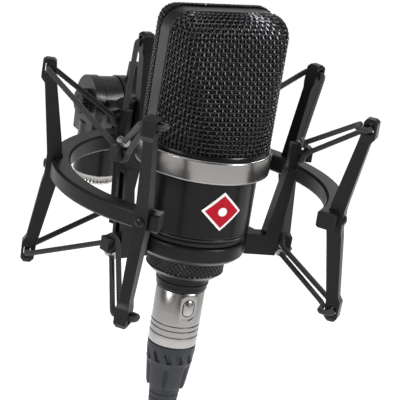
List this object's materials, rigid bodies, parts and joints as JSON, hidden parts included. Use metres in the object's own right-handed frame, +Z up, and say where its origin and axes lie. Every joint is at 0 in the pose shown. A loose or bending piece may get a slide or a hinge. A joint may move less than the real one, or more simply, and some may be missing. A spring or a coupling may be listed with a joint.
{
  "type": "condenser microphone",
  "caption": "Large-diaphragm condenser microphone hung by elastic in an open-fronted suspension ring, with its cable plug, on a tilting swivel with a threaded stand socket.",
  "frame": {"origin": "Centre of the mouth of the threaded stand socket, where the stand's stud enters", "axes": "+Z up the socket's and the microphone's axes, -Y out of the microphone's front, +X to the right seen from the front"},
  "size_m": [0.121, 0.1495, 0.1662],
  "materials": {
    "satin_black": "satin black enamel on cast and turned metal",
    "grille_black": "dark woven wire and its strip",
    "black_plastic": "fine matt black moulding",
    "satin_nickel": "satin nickel plate, turned",
    "rubber": "dark grey rubber",
    "elastic": "braided black elastic",
    "board": "green circuit board",
    "capsule_brass": "bright brass",
    "badge_enamel": "red enamel with a white border"
  },
  "bodies": {
    "adapter": {"thread_insert": "satin_nickel"},
    "fork": {"stand_fork": "black_plastic", "clamp_bolt": "satin_black"},
    "lever": {"clamp_lever": "black_plastic"},
    "frame": {"ring_arm": "black_plastic", "outer_ring": "black_plastic", "strut_front_left": "black_plastic", "strut_left": "black_plastic", "strut_rear": "black_plastic", "strut_right": "black_plastic", "strut_front_right": "black_plastic", "screw_front_left": "satin_black", "screw_left": "satin_black", "screw_rear": "satin_black", "screw_right": "satin_black", "screw_front_right": "satin_black", "upper_elastic": "elastic", "lower_elastic": "elastic"},
    "cradle": {"basket_collar": "black_plastic", "seat_washer": "rubber", "upright_left": "black_plastic", "upright_right": "black_plastic", "upright_rear_left": "black_plastic", "upright_rear_right": "black_plastic", "body_shell": "satin_black", "bright_ring": "satin_nickel", "head_base": "black_plastic", "front_grille": "grille_black", "rear_grille": "grille_black", "head_strip": "grille_black", "capsule": "capsule_brass", "capsule_mount": "rubber", "circuit_board": "board", "coupling_capacitor": "capsule_brass", "badge": "badge_enamel", "output_stub": "satin_black", "pin_carrier": "black_plastic"},
    "nut": {"clamp_nut": "satin_black"},
    "plug": {"plug_shell": "satin_nickel", "plug_insert": "black_plastic", "plug_boot": "rubber", "boot_sleeve": "rubber"},
    "latch": {"latch_button": "satin_nickel"}
  },
  "joints": [
    {"name": "pan", "type": "hinge", "parent": "adapter", "child": "fork", "pos_m": [0, 0, 0.01], "axis": [0, 0, 1], "continuous": true},
    {"name": "tilt", "type": "hinge", "parent": "fork", "child": "frame", "pos_m": [0, 0, 0.034], "axis": [1, 0, 0], "range_deg": [-75, 20]},
    {"name": "lever_turn", "type": "hinge", "parent": "fork", "child": "lever", "pos_m": [0.0109, 0, 0.034], "axis": [1, 0, 0], "range_deg": [0, 100]},
    {"name": "cradle_float", "type": "slide", "parent": "frame", "child": "cradle", "axis": [0, 0, 1], "range_m": [-0.005, 0.005], "stiffness_N_per_m": 1500, "springref_m": 0.00175, "deforming": ["upper_elastic", "lower_elastic"]},
    {"name": "nut_turn", "type": "hinge", "parent": "cradle", "child": "nut", "pos_m": [0, -0.092, 0], "axis": [0, 0, 1], "continuous": true},
    {"name": "plug_pull", "type": "slide", "parent": "cradle", "child": "plug", "axis": [0, 0, -1], "range_m": [0, 0.0135]},
    {"name": "latch_press", "type": "slide", "parent": "plug", "child": "latch", "axis": [0, 1, 0], "range_m": [0, 0.001], "stiffness_N_per_m": 500, "springref_m": -0.0006}
  ]
}
